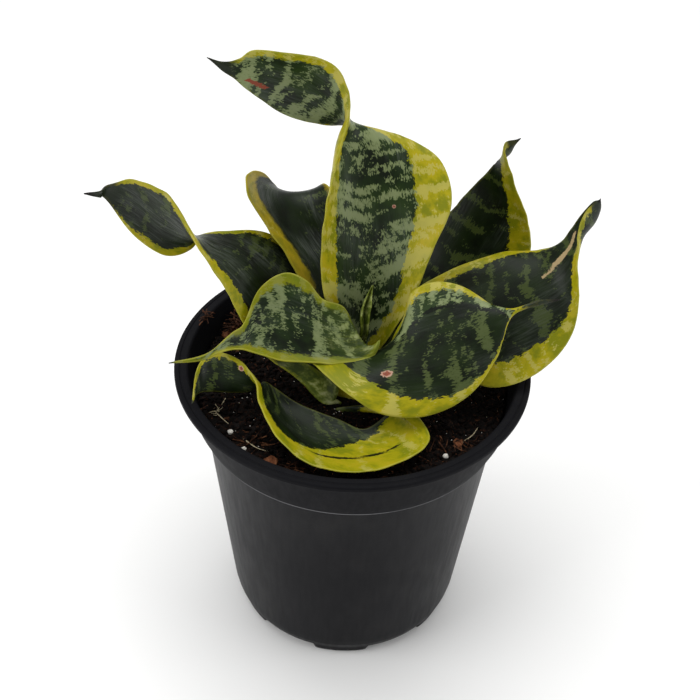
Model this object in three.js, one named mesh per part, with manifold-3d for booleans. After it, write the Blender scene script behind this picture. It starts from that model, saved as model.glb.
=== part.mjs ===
// Potted snake plant (Sansevieria, gold-margined bird's-nest form) in a six-inch-class nursery pot.
// Millimetres, +Z up. The origin is the middle of the pot's underside.
import * as THREE from "three";
import { mergeVertices } from "three/addons/utils/BufferGeometryUtils.js";
import Module from "manifold-3d";

const wasm = await Module();
wasm.setup();

// ---- Driving dimensions -------------------------------------------------
const rimRadius = 82.5; // outside of the lip
const potHeight = 146;
const lipWidth = 6.5; // flat top of the lip
const lipHeight = 3; // upright outer band of the lip
const collarHeight = 25; // flared collar under the lip
const bodyTopRadius = rimRadius - 13.2;
const heelRadius = bodyTopRadius * 0.83; // where the wall rounds into the foot
const footRadius = heelRadius - 3.5;
const footWidth = 9;
const wall = 2;
const recess = 4.5; // feet and centre pad stand this far below the base plate
const basePlate = 2.4;
const padRadius = 10;
const footCount = 6;
const notchAngle = 32; // degrees between feet
const drainRadius = 4.5;
const soilDrop = 13; // lip down to the soil
const gap = 0.3; // clearance between pieces that touch
const crownRadius = 24; // well in the soil that the leaf bases stand in
const crownDepth = 9;
const leafThickness = 2.6; // along the middle of a blade
const rhizomeRadius = 11;
const rootRadius = 1.6;
const segments = 60; // facets round the pot

const soilLevel = potHeight - soilDrop;
// The plant keeps its proportions to the mouth of the pot.
const plantScale = rimRadius / 82.5;
const degrees = Math.PI / 180;

// ---- Helpers ------------------------------------------------------------
function solid(geometry) {
  const bare = geometry.index ? geometry.toNonIndexed() : geometry.clone();
  bare.deleteAttribute("normal");
  bare.deleteAttribute("uv");
  const merged = mergeVertices(bare, 1e-4);
  return new wasm.Manifold(
    new wasm.Mesh({
      numProp: 3,
      vertProperties: merged.attributes.position.array,
      triVerts: new Uint32Array(merged.index.array),
    }),
  );
}

function geometryOf(manifold) {
  const mesh = manifold.getMesh();
  const geometry = new THREE.BufferGeometry();
  const positions = new Float32Array(mesh.numVert * 3);
  for (let i = 0; i < mesh.numVert; i++) {
    for (let k = 0; k < 3; k++) {
      positions[3 * i + k] = mesh.vertProperties[mesh.numProp * i + k];
    }
  }
  geometry.setAttribute("position", new THREE.BufferAttribute(positions, 3));
  geometry.setIndex(new THREE.BufferAttribute(new Uint32Array(mesh.triVerts), 1));
  geometry.computeVertexNormals();
  return geometry;
}

// A body turned round the upright axis. The profile is [radius, height] pairs, anticlockwise.
function turned(profile, around = segments) {
  const points = profile.map(([r, z]) => new THREE.Vector2(r, z));
  const geometry = new THREE.LatheGeometry(points, around);
  geometry.rotateX(Math.PI / 2);
  return geometry;
}

function tube(points, radius, steps = 12, sides = 8) {
  const shape = new THREE.Shape();
  shape.absarc(0, 0, radius, 0, Math.PI * 2);
  const path = new THREE.CatmullRomCurve3(points.map((p) => new THREE.Vector3(...p)));
  return new THREE.ExtrudeGeometry(shape, {
    steps,
    curveSegments: sides,
    bevelEnabled: false,
    extrudePath: path,
  });
}

function largestBody(manifold) {
  const bodies = manifold.decompose();
  return bodies.reduce((best, body) => (body.volume() > best.volume() ? body : best));
}

// ---- Nursery pot --------------------------------------------------------
const plateTop = recess + basePlate;
const collarTop = potHeight - lipHeight;
const collarFoot = collarTop - collarHeight;
const neckRadius = rimRadius - 10.5; // narrow end of the flared collar
const innerLip = rimRadius - lipWidth;
const innerHeel = heelRadius - wall - 0.7;
const innerNeck = neckRadius - wall - 1;

function potSolid() {
  const outline = [
    [0, 0],
    [padRadius, 0],
    [padRadius, recess],
    [footRadius - footWidth, recess],
    [footRadius - footWidth, 0],
    [footRadius - 1, 0],
    [footRadius, 1],
    [footRadius + 0.7, recess],
    [heelRadius - 1, recess + 4],
    [heelRadius, recess + 9],
    [bodyTopRadius, collarFoot],
    [neckRadius, collarFoot + 0.8],
    [neckRadius + 2.6, collarFoot + 7],
    [rimRadius - 2.4, collarTop - 1],
    [rimRadius, collarTop + 0.4],
    [rimRadius, potHeight - 0.6],
    [rimRadius - 0.8, potHeight],
    [innerLip + 0.8, potHeight],
    [innerLip, potHeight - 0.7],
    [innerNeck + 3.4, soilLevel - 3],
    [innerNeck, collarFoot + 2],
    [innerHeel, recess + 10],
    [innerHeel - 3, plateTop],
    [0, plateTop],
  ];
  let pot = solid(turned(outline));
  const notchHalf = (notchAngle / 2) * degrees;
  for (let i = 0; i < footCount; i++) {
    // The first foot faces the front, so the notches sit half a step round from it.
    const middle = ((i + 0.5) * 360) / footCount * degrees - Math.PI / 2;
    const sector = new THREE.Shape();
    sector.absarc(0, 0, footRadius + 9, middle - notchHalf, middle + notchHalf, false);
    sector.absarc(0, 0, footRadius - footWidth - 2, middle + notchHalf, middle - notchHalf, true);
    const notch = new THREE.ExtrudeGeometry(sector, {
      depth: recess + 1,
      curveSegments: 6,
      bevelEnabled: false,
    });
    notch.translate(0, 0, -1);
    const drain = new THREE.CylinderGeometry(drainRadius, drainRadius, plateTop * 2, 16);
    drain.rotateX(Math.PI / 2);
    const drainCircle = footRadius - footWidth - drainRadius - 5;
    drain.translate(drainCircle * Math.cos(middle), drainCircle * Math.sin(middle), 0);
    pot = pot.subtract(solid(notch)).subtract(solid(drain));
  }
  return pot;
}

// ---- Rhizome and roots, under the soil ----------------------------------
function rhizomeSolid(grow) {
  const s = plantScale;
  const top = soilLevel - crownDepth * s - 0.2;
  const r = rhizomeRadius * s;
  const outline = [
    [0, top - 40 * s - grow],
    [r * 0.45 + grow, top - 39 * s - grow],
    [r * 0.9 + grow, top - 32 * s],
    [r + grow, top - 22 * s],
    [r * 0.85 + grow, top - 14 * s],
    [r + grow, top - 7 * s],
    [r * 0.75 + grow, top + grow * 2],
    [0, top + grow * 2],
  ];
  const stock = solid(turned(outline, 24));
  // A side branch that turns up towards the surface and ends in a bud.
  const branch = [
    [4 * s, 1 * s, top - 26 * s],
    [18 * s, 4 * s, top - 27 * s],
    [(29 + grow) * s, 8 * s, top - 21 * s],
    [(33 + grow) * s, 10 * s, top - 12 * s + grow],
  ];
  return stock.add(solid(tube(branch, (5.5 + grow) * s, 10, 8)));
}

function rootPath(index) {
  const s = plantScale;
  const angle = (62 + index * 88) * degrees;
  const top = soilLevel - crownDepth * s - 0.2;
  const floor = plateTop + 8;
  const start = rhizomeRadius * s + gap + rootRadius + 0.4;
  const bend = index % 2 ? 14 : -12;
  const stops = [
    [start, 0, top - 22 * s],
    [26 * s, bend * 0.4 * s, top - 34 * s],
    [39 * s, bend * s, (top - 34 * s + floor) / 2],
    [43 * s, bend * 1.6 * s, floor],
  ];
  return stops.map(([x, y, z]) => [
    x * Math.cos(angle) - y * Math.sin(angle),
    x * Math.sin(angle) + y * Math.cos(angle),
    z,
  ]);
}

// ---- Leaves -------------------------------------------------------------
// A blade is a row of cross-cuts from its base to its tip. Each cut is three points, near
// margin, midrib and far margin, in mm from the crown at soil level. The two lowest cuts of a
// blade are arcs that clasp the crown: facing angle, spread and radius.
function clasp(facing, spread, radius, height) {
  const r = radius * (crownRadius / 24);
  return [facing + spread, facing, facing - spread].flatMap((angle) => [
    r * Math.cos(angle * degrees),
    r * Math.sin(angle * degrees),
    height,
  ]);
}

const blades = {
  leaf_young_spike: [
    clasp(90, 60, 2.5, -9),
    clasp(90, 60, 3, 12),
    [3, -2, 30, 4, 3, 27, 6, -1, 31],
    [3, -1, 43, 4, 4, 41, 7, 0, 44],
    [7, 5, 55, 8, 6, 55, 8, 5, 55],
  ],
  leaf_tall_centre: [
    clasp(90, 75, 6, -9),
    clasp(90, 75, 8, 9),
    [-14, 2, 46, 5, 15, 34, 24, 6, 41],
    [-16, 3, 70, 4, 18, 61, 33, 10, 70],
    [-14, 5, 95, 1, 22, 87, 40, 17, 91],
    [-10, 14, 113, -3, 28, 109, 34, 30, 105],
    [-8, 18, 122, -6, 28, 116, 16, 37, 112],
    [-6, 20, 132, -7, 28, 124, -4, 38, 115],
    [-7, 20, 143, -13, 28, 131, -19, 32, 119],
    [-16, 20, 155, -26, 28, 140, -34, 25, 127],
    [-42, 18, 160, -45, 20, 150, -47, 16, 142],
    [-51, 16, 157, -53, 17, 152, -53, 15, 148],
    [-57, 14, 156, -57, 15, 154, -58, 14, 152],
    [-64, 12, 159, -64, 12, 159, -64, 12, 158],
  ],
  leaf_left_cup: [
    clasp(240, 72, 9.5, -9),
    clasp(240, 75, 10, 10),
    [12, -9, 33, 6, -10, 29, -1, -3, 33],
    [9, -14, 28, -2, -11, 29, -5, -1, 45],
    [-4, -17, 26, -12, -10, 30, -15, 1, 48],
    [-19, -19, 27, -24, -10, 33, -22, 3, 56],
    [-32, -21, 29, -35, -10, 37, -32, 4, 59],
    [-42, -23, 34, -44, -13, 38, -43, -2, 54],
    [-50, -24, 37, -49, -18, 36, -49, -11, 42],
    [-58, -25, 36, -57, -22, 37, -54, -18, 41],
    [-66, -28, 33, -66, -27, 34, -65, -26, 35],
    [-80, -33, 34, -80, -33, 35, -80, -33, 36],
  ],
  leaf_right_cup: [
    clasp(300, 70, 13, -9),
    clasp(300, 70, 13.5, 7),
    [18, -1, 30, 11, -8, 24, -18, -16, 24],
    [23, 1, 42, 17, -13, 31, -2, -33, 22],
    [25, 3, 52, 26, -14, 36, 14, -38, 15],
    [35, 5, 57, 38, -14, 41, 33, -37, 14],
    [48, 2, 57, 50, -14, 46, 51, -32, 22],
    [60, -4, 52, 62, -13, 52, 63, -22, 36],
    [69, -9, 54, 69, -11, 55, 68, -13, 52],
    [79, -7, 58, 79, -8, 57, 79, -8, 56],
    [90, -4, 58, 90, -4, 57, 90, -4, 56],
  ],
  leaf_back_arched: [
    clasp(120, 48, 13, -9),
    clasp(120, 48, 15, 9),
    [-25, 12, 47, -11, 26, 39, 2, 26, 40],
    [-41, 24, 69, -25, 40, 55, -2, 40, 59],
    [-50, 28, 83, -33, 50, 67, -11, 50, 70],
    [-51, 38, 88, -33, 62, 63, -17, 58, 72],
    [-44, 54, 78, -32, 76, 49, -20, 70, 59],
    [-35, 76, 46, -30, 88, 31, -24, 84, 40],
    [-29, 92, 17, -28, 92, 16, -28, 92, 15],
  ],
  leaf_left_twisted: [
    clasp(175, 48, 17, -9),
    clasp(175, 48, 18.5, 7),
    [-40, -10, 23, -29, 6, 32, -16, 28, 43],
    [-57, -8, 57, -51, 8, 60, -40, 30, 61],
    [-66, -8, 75, -64, 5, 71, -58, 19, 70],
    [-71, -6, 85, -71, 5, 75, -69, 15, 70],
    [-75, -6, 95, -77, 2, 79, -74, 8, 67],
    [-81, -7, 106, -85, 0, 85, -84, 2, 67],
    [-93, -8, 112, -95, -2, 96, -96, -3, 80],
    [-103, -10, 111, -105, -7, 106, -106, -7, 101],
    [-107, -11, 108, -108, -10, 106, -108, -10, 104],
    [-114, -12, 108, -114, -12, 107, -114, -12, 106],
  ],
  leaf_right_wide: [
    clasp(15, 48, 17, -9),
    clasp(15, 48, 18, 9),
    [23, 22, 34, 30, 8, 24, 38, -8, 18],
    [42, 28, 46, 52, 9, 36, 63, -18, 16],
    [66, 32, 55, 74, 12, 49, 85, -12, 22],
    [81, 31, 58, 88, 16, 57, 99, -2, 40],
    [91, 26, 66, 96, 16, 68, 97, 8, 72],
    [95, 24, 76, 99, 17, 77, 96, 11, 82],
    [98, 22, 85, 103, 16, 85, 97, 11, 91],
    [101, 18, 94, 104, 14, 93, 100, 11, 98],
    [103, 13, 100, 103, 12, 100, 102, 11, 100],
  ],
  leaf_right_back: [
    clasp(60, 48, 21, -9),
    clasp(60, 48, 22, 9),
    [23, 36, 31, 38, 40, 27, 57, 40, 22],
    [35, 48, 54, 51, 52, 43, 80, 46, 40],
    [50, 56, 71, 62, 56, 68, 79, 46, 62],
    [60, 56, 86, 63, 54, 86, 70, 44, 85],
    [66, 50, 96, 64, 47, 100, 63, 45, 104],
    [70, 44, 109, 70, 44, 109, 69, 44, 110],
  ],
  leaf_front_low: [
    clasp(295, 42, 21, -9),
    clasp(295, 42, 22, 2),
    [35, -41, 8, 26, -32, 4, 17, -25, 8],
    [28, -57, 9, 17, -44, 3, 7, -38, 6],
    [9, -68, 9, 0, -47, 3, -7, -34, 8],
    [-12, -68, 10, -19, -43, 4, -23, -27, 9],
    [-29, -57, 13, -32, -33, 8, -34, -23, 14],
    [-40, -39, 18, -39, -29, 16, -39, -23, 18],
    [-43, -29, 23, -42, -26, 19, -42, -24, 15],
    [-50, -22, 29, -50, -26, 23, -49, -28, 15],
    [-63, -18, 30, -63, -25, 24, -62, -29, 16],
    [-69, -24, 25, -68, -27, 21, -68, -31, 16],
    [-71, -37, 16, -70, -38, 16, -70, -38, 15],
  ],
  leaf_small_inner: [
    clasp(240, 17, 17.5, -9),
    clasp(239, 17, 18, 2),
    [-13, -23, 7, -9, -18, 6, -6, -13, 8],
    [-25, -19, 17, -22, -17, 18, -18, -15, 21],
    [-37, -18, 27, -35, -16, 27, -31, -14, 28],
    [-46, -16, 34, -46, -16, 33, -45, -15, 34],
  ],
};

function spline(a, b, c, d, t) {
  const rise = (c - a) * t;
  const second = (2 * a - 5 * b + 4 * c - d) * t * t;
  const third = (3 * b - a - 3 * c + d) * t * t * t;
  return 0.5 * (2 * b + rise + second + third);
}

// Point on a blade. along runs from 0 at the base, one unit to a cut; across from -1 to 1.
function bladePoint(cuts, along, across) {
  const last = cuts.length - 1;
  const span = Math.min(Math.max(Math.floor(along), 0), last - 1);
  const t = along - span;
  const before = span > 0 ? cuts[span - 1] : cuts[0].map((v, k) => 2 * v - cuts[1][k]);
  const after =
    span + 2 <= last ? cuts[span + 2] : cuts[last].map((v, k) => 2 * v - cuts[last - 1][k]);
  const near = (across * (across - 1)) / 2;
  const middle = 1 - across * across;
  const far = (across * (across + 1)) / 2;
  const point = [0, 1, 2].map((k) => {
    const at = [k, k + 3, k + 6].map((j) =>
      spline(before[j], cuts[span][j], cuts[span + 1][j], after[j], t),
    );
    return near * at[0] + middle * at[1] + far * at[2];
  });
  return new THREE.Vector3(...point).multiplyScalar(plantScale);
}

function bladeSolid(cuts, grow = 0) {
  const perCut = 2;
  const across = 6;
  const rows = (cuts.length - 1) * perCut;
  const step = 0.02;
  const sides = [[], []];
  for (let i = 0; i <= rows; i++) {
    const u = i / perCut;
    const nearTip = Math.min(1, 0.35 + (1.3 * (rows - i)) / rows);
    for (let j = 0; j <= across; j++) {
      const v = -1 + (2 * j) / across;
      const here = bladePoint(cuts, u, v);
      const forward = bladePoint(cuts, u + step, v).sub(bladePoint(cuts, u - step, v));
      const sideways = bladePoint(cuts, u, v + step).sub(bladePoint(cuts, u, v - step));
      const normal = new THREE.Vector3().crossVectors(forward, sideways).normalize();
      if (j === 0 || j === across) here.addScaledVector(sideways.normalize(), grow * Math.sign(v));
      if (i === 0 || i === rows) here.addScaledVector(forward.normalize(), i ? grow : -grow);
      const half = (leafThickness / 2) * (1 - 0.5 * v * v) * nearTip + grow;
      sides[0].push(here.clone().addScaledVector(normal, half));
      sides[1].push(here.clone().addScaledVector(normal, -half));
    }
  }
  const width = across + 1;
  const size = sides[0].length;
  const positions = [...sides[0], ...sides[1]].flatMap((p) => [p.x, p.y, p.z + soilLevel]);
  const faces = [];
  const quad = (a, b, c, d) => faces.push(a, b, c, a, c, d);
  for (let i = 0; i < rows; i++) {
    for (let j = 0; j < across; j++) {
      const a = i * width + j;
      const b = a + width;
      quad(a, b, b + 1, a + 1);
      quad(size + a, size + a + 1, size + b + 1, size + b);
    }
    const first = i * width;
    const last = first + across;
    quad(first, size + first, size + first + width, first + width);
    quad(last, last + width, size + last + width, size + last);
  }
  for (let j = 0; j < across; j++) {
    const end = rows * width + j;
    quad(j, j + 1, size + j + 1, size + j);
    quad(end, size + end, size + end + 1, end + 1);
  }
  const geometry = new THREE.BufferGeometry();
  geometry.setAttribute("position", new THREE.Float32BufferAttribute(positions, 3));
  geometry.setIndex(faces);
  const made = new wasm.Manifold(
    new wasm.Mesh({
      numProp: 3,
      vertProperties: geometry.attributes.position.array,
      triVerts: new Uint32Array(faces),
    }),
  );
  return made;
}

// ---- Crumbs that lie on the soil ----------------------------------------
// Facing angle and distance on the soil, then length, width, thickness and turn.
const barkChips = [
  { angle: 153, reach: 68, size: [11, 6, 3], turn: 30 },
  { angle: 239, reach: 66, size: [9, 6, 3.4], turn: 70 },
  { angle: 251, reach: 66, size: [7, 4, 2.6], turn: 10 },
  { angle: 322, reach: 62, size: [8, 4, 2.8], turn: 115 },
  { angle: 118, reach: 58, size: [9, 5, 3], turn: 160 },
  { angle: 78, reach: 62, size: [8, 5, 3], turn: 50 },
];
const perliteGrains = [
  { angle: 216, reach: 66, size: [3.4, 2.8, 2.4], turn: 20 },
  { angle: 226, reach: 67, size: [2.8, 2.6, 2.2], turn: 80 },
  { angle: 297, reach: 40, size: [3.6, 2.8, 2.4], turn: 0 },
  { angle: 312, reach: 64, size: [3, 2.8, 2.4], turn: 140 },
  { angle: 98, reach: 48, size: [3.4, 3, 2.6], turn: 60 },
  { angle: 190, reach: 60, size: [3, 2.6, 2.2], turn: 100 },
];

// Uneven top of the soil, mm above or below its level.
function soilRelief(x, y) {
  return 0.5 * Math.sin(x * 0.21 + 1) * Math.cos(y * 0.17) + 0.3 * Math.sin(x * 0.09 - y * 0.31);
}

function crumbSolid({ angle, reach, size, turn }, grow) {
  const geometry = new THREE.IcosahedronGeometry(0.5, 0);
  const x = reach * plantScale * Math.cos(angle * degrees);
  const y = reach * plantScale * Math.sin(angle * degrees);
  geometry.scale(...size.map((length) => length + 2.6 * grow));
  geometry.rotateX(8 * degrees);
  geometry.rotateZ(turn * degrees);
  geometry.translate(x, y, soilLevel + soilRelief(x, y) + size[2] * 0.15);
  return solid(geometry);
}

function soilSolid(inside) {
  const top = soilLevel;
  const well = crownRadius * plantScale;
  const wellFloor = top - crownDepth * plantScale - 0.2;
  const edge = innerNeck + 3.4 - gap * 1.5;
  const profile = [
    [0, plateTop + gap],
    [innerHeel - 3 - gap * 1.5, plateTop + gap],
    [innerHeel - gap * 1.5, recess + 10 + gap],
    [innerNeck - gap * 1.5, collarFoot + 2],
    [edge, top - 3],
  ];
  for (let i = 0; i <= 6; i++) {
    profile.push([edge - 0.6 + ((well - edge + 0.6) * i) / 6, top + (i ? 0 : -1)]);
  }
  profile.push([well, wellFloor], [0, wellFloor]);
  const body = turned(profile);
  const position = body.attributes.position;
  for (let i = 0; i < position.count; i++) {
    if (position.getZ(i) < top - 1.5) continue;
    const relief = soilRelief(position.getX(i), position.getY(i));
    position.setZ(i, position.getZ(i) + relief);
  }
  return inside.reduce((soil, piece) => soil.subtract(piece), solid(body));
}

// ---- Assembly -----------------------------------------------------------
const group = new THREE.Group();
group.name = "potted_snake_plant";

function place(name, manifold, colour, roughness) {
  const material = new THREE.MeshStandardMaterial({ color: colour, roughness, metalness: 0 });
  material.name = name;
  const mesh = new THREE.Mesh(geometryOf(manifold), material);
  mesh.name = name;
  group.add(mesh);
}

place("nursery_pot", potSolid(), 0x1c1c1e, 0.5);

const buried = [rhizomeSolid(gap)];
for (let i = 0; i < 4; i++) {
  const path = rootPath(i);
  const [x, y, z] = path[0];
  // The root's hole runs on into the rhizome's.
  const link = [[x * 0.5, y * 0.5, z], [x * 0.8, y * 0.8, z], [x * 1.05, y * 1.05, z]];
  buried.push(solid(tube(path, rootRadius + gap, 14, 6)));
  buried.push(solid(tube(link, rootRadius + gap, 4, 6)));
}
const crumbs = [...barkChips, ...perliteGrains];
const pockets = [...buried, ...crumbs.map((crumb) => crumbSolid(crumb, gap))];
place("potting_soil", soilSolid(pockets), 0x2a211c, 0.95);
place("rhizome", rhizomeSolid(0), 0xc9a469, 0.7);
for (let i = 0; i < 4; i++) {
  place(`root_${i + 1}`, solid(tube(rootPath(i), rootRadius, 14, 6)), 0xd9cfb4, 0.8);
}

// Inner leaves keep their shape; an outer one is relieved where it would run into them or
// into the lip of the pot.
const lip = turned([
  [innerLip - gap, potHeight + gap],
  [innerLip - gap, collarTop],
  [rimRadius + gap, collarTop],
  [rimRadius + gap, potHeight + gap],
  [innerLip - gap, potHeight + gap],
]);
const settled = [solid(lip)];
for (const [name, cuts] of Object.entries(blades)) {
  let blade = bladeSolid(cuts);
  for (const other of settled) blade = blade.subtract(other);
  settled.push(bladeSolid(cuts, gap));
  place(name, largestBody(blade), 0x4e6b33, 0.45);
}

barkChips.forEach((chip, i) => place(`bark_chip_${i + 1}`, crumbSolid(chip, 0), 0x6b4630, 0.9));
perliteGrains.forEach((grain, i) =>
  place(`perlite_grain_${i + 1}`, crumbSolid(grain, 0), 0xe9e6df, 0.85),
);

export default group;
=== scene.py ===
"""A potted snake plant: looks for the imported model, in metres, in the model's own frame."""

import math
import random

import bmesh
import bpy
from mathutils import Matrix, Vector, noise


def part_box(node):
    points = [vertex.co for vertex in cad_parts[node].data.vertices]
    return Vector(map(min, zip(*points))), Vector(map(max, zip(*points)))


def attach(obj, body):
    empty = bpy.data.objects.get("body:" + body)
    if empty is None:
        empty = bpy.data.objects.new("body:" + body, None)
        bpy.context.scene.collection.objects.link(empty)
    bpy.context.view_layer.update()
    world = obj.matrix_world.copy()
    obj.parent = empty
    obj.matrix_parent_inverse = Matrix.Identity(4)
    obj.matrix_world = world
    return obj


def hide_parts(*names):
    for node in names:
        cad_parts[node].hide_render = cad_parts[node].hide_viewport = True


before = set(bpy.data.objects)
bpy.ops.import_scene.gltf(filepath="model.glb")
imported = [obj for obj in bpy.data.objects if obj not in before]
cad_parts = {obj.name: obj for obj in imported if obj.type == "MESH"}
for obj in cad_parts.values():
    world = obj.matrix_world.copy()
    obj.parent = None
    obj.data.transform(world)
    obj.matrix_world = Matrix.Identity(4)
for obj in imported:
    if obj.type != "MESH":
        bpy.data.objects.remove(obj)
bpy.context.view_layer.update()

bl_info = {
    "name": "Potted Snake Plant",
    "version": (1, 0, 0),
    "blender": (4, 5, 0),
    "location": "View3D > Sidebar > Snake Plant",
    "description": "Builds a gold-margined snake plant in a black nursery pot",
    "category": "Add Mesh",
}

MM = 0.001
POT_LOW, POT_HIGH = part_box("nursery_pot")
SOIL_LOW, SOIL_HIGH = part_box("potting_soil")
RIM_RADIUS = (POT_HIGH[0] - POT_LOW[0]) / 2
POT_HEIGHT = POT_HIGH[2] - POT_LOW[2]
SOIL_DROP = 13 * MM  # from the lip down to the soil
SOIL_LEVEL = POT_HEIGHT - SOIL_DROP
COLLAR_DROP = 28 * MM  # from the lip down to the collar's foot
FOOT_COUNT = 6  # as many drain holes as feet


# ---- Small helpers -----------------------------------------------------------
def linear(hex_colour):
    """An sRGB hex colour as linear RGBA."""
    parts = [int(hex_colour[i : i + 2], 16) / 255 for i in (1, 3, 5)]
    return (*[c / 12.92 if c <= 0.04045 else ((c + 0.055) / 1.055) ** 2.4 for c in parts], 1.0)


def pitch(size_mm):
    """The scale of a noise whose lumps are size_mm apart, on places in metres."""
    return 1 / (size_mm * MM)


# Short names for kinds of node that come up often, each with its usual settings. A maths node
# goes by its operation. A step from a to b is 0 before a and 1 past b, whichever is larger.
KINDS = {
    "mix": ("ShaderNodeMix", {"data_type": "RGBA"}),
    "noise": ("ShaderNodeTexNoise", {}),
    "ramp": ("ShaderNodeValToRGB", {}),
    "step": ("ShaderNodeMapRange", {"interpolation_type": "SMOOTHSTEP"}),
}
for operation in ("ABSOLUTE", "ADD", "MULTIPLY", "MULTIPLY_ADD", "SUBTRACT"):
    KINDS[operation] = ("ShaderNodeMath", {"operation": operation})


def add(tree, kind, *values, out=None, stops=(), **named):
    """Add a node and return an output: the one called out, or else the first in use.

    The values fill the inputs in use, in order. A named one is a setting of the node, or else the
    input of that name, with _ for a space. A value that is itself an output is linked."""
    kind, usual = KINDS.get(kind, (kind, {}))
    made = tree.nodes.new(kind)
    named = {**usual, **named}
    for key in [key for key in named if hasattr(made, key)]:
        setattr(made, key, named.pop(key))
    given = list(zip([socket for socket in made.inputs if socket.enabled], values))
    given += [(made.inputs[key.replace("_", " ")], value) for key, value in named.items()]
    for socket, value in given:
        if isinstance(value, bpy.types.NodeSocket):
            tree.links.new(value, socket)
        else:
            socket.default_value = value
    if stops:
        elements = made.color_ramp.elements
        while len(elements) < len(stops):
            elements.new(0.5)
        for element, (position, colour) in zip(elements, stops):
            element.position = position
            element.color = linear(colour)
    if out:
        return made.outputs[out]
    return next((socket for socket in made.outputs if socket.enabled), None)


def new_material(name):
    material = bpy.data.materials.new(name)
    material.use_nodes = True
    material.node_tree.nodes.clear()
    return material, material.node_tree


def new_object(name, vertices, faces, material):
    """A smooth mesh object at the origin, with one material."""
    mesh = bpy.data.meshes.new(name)
    mesh.from_pydata(vertices, [], faces)
    mesh.validate()
    mesh.update()
    mesh.shade_smooth()
    made = bpy.data.objects.new(name, mesh)
    bpy.context.scene.collection.objects.link(made)
    mesh.materials.append(material)
    return made


def settle(piece, slot, *nodes):
    """Ride on the one body, stand for CAD nodes; slot is not used."""
    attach(piece, "root")
    if nodes:
        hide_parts(*nodes)


# ---- Materials ---------------------------------------------------------------
def pot_plastic(settings):
    """Black injection-moulded polypropylene: satin, faintly dusty, with upright scuffs 2.4 mm wide
    and a moulded grain of 0.7 mm."""
    material, tree = new_material("polypropylene_black_moulded")
    place = add(tree, "ShaderNodeTexCoord", out="Object")
    dust = add(tree, "noise", place, pitch(26.3), 5.0, 0.6)
    upright = add(tree, "ShaderNodeMapping", place, Scale=(1.0, 1.0, 0.12))
    scuff = add(tree, "noise", upright, pitch(2.38), 3.0)
    grain = add(tree, "noise", place, pitch(0.714), 2.0)
    dusty = add(tree, "step", dust, 0.5, 0.78)
    dusty = add(tree, "MULTIPLY", dusty, 0.12)
    colour = add(tree, "mix", dusty, linear(settings.pot_colour), linear("#3a3937"))
    # The collar is duller than the body. A thin pale line at its foot is a painted highlight, broken up
    # by the dust noise.
    up = add(tree, "ShaderNodeSeparateXYZ", place, out="Z")
    foot = settings.height - COLLAR_DROP
    off_line = add(tree, "SUBTRACT", up, foot + 1.3 * MM)
    off_line = add(tree, "ABSOLUTE", off_line)
    line = add(tree, "step", off_line, 0.6 * MM, 0.2 * MM)
    painted_highlight_line = add(tree, "MULTIPLY", line, add(tree, "step", dust, 0.2, 0.5))
    colour = add(tree, "mix", painted_highlight_line, colour, linear("#707073"))
    collar = add(tree, "step", up, foot, foot + MM)
    rough = add(tree, "MULTIPLY_ADD", scuff, 0.2, 0.33)
    rough = add(tree, "MULTIPLY_ADD", collar, 0.25, rough)
    height = add(tree, "MULTIPLY_ADD", scuff, 0.4, grain)
    bump = add(tree, "ShaderNodeBump", Strength=0.12, Distance=0.3 * MM, Height=height)
    shader = add(
        tree,
        "ShaderNodeBsdfPrincipled",
        colour,
        Roughness=rough,
        Normal=bump,
        IOR=1.49,
        Specular_IOR_Level=0.1,
    )
    add(tree, "ShaderNodeOutputMaterial", shader)
    return material


# What a leaf's skin reads at each point: distances in mm and the pallor of its bands, which on
# blades lying in shade also carries painted shade, and then traits of the whole blade, with their
# usual values.
MEASURES = ("across_mm", "along_mm", "inset_mm", "rim_mm", "base_mm", "tip_mm", "streak_mm", "pallor_and_shade")
TRAITS = {"young": 0.0, "painted_sheen": 0.25, "soft": 0.3, "rust": 0.0}


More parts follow.
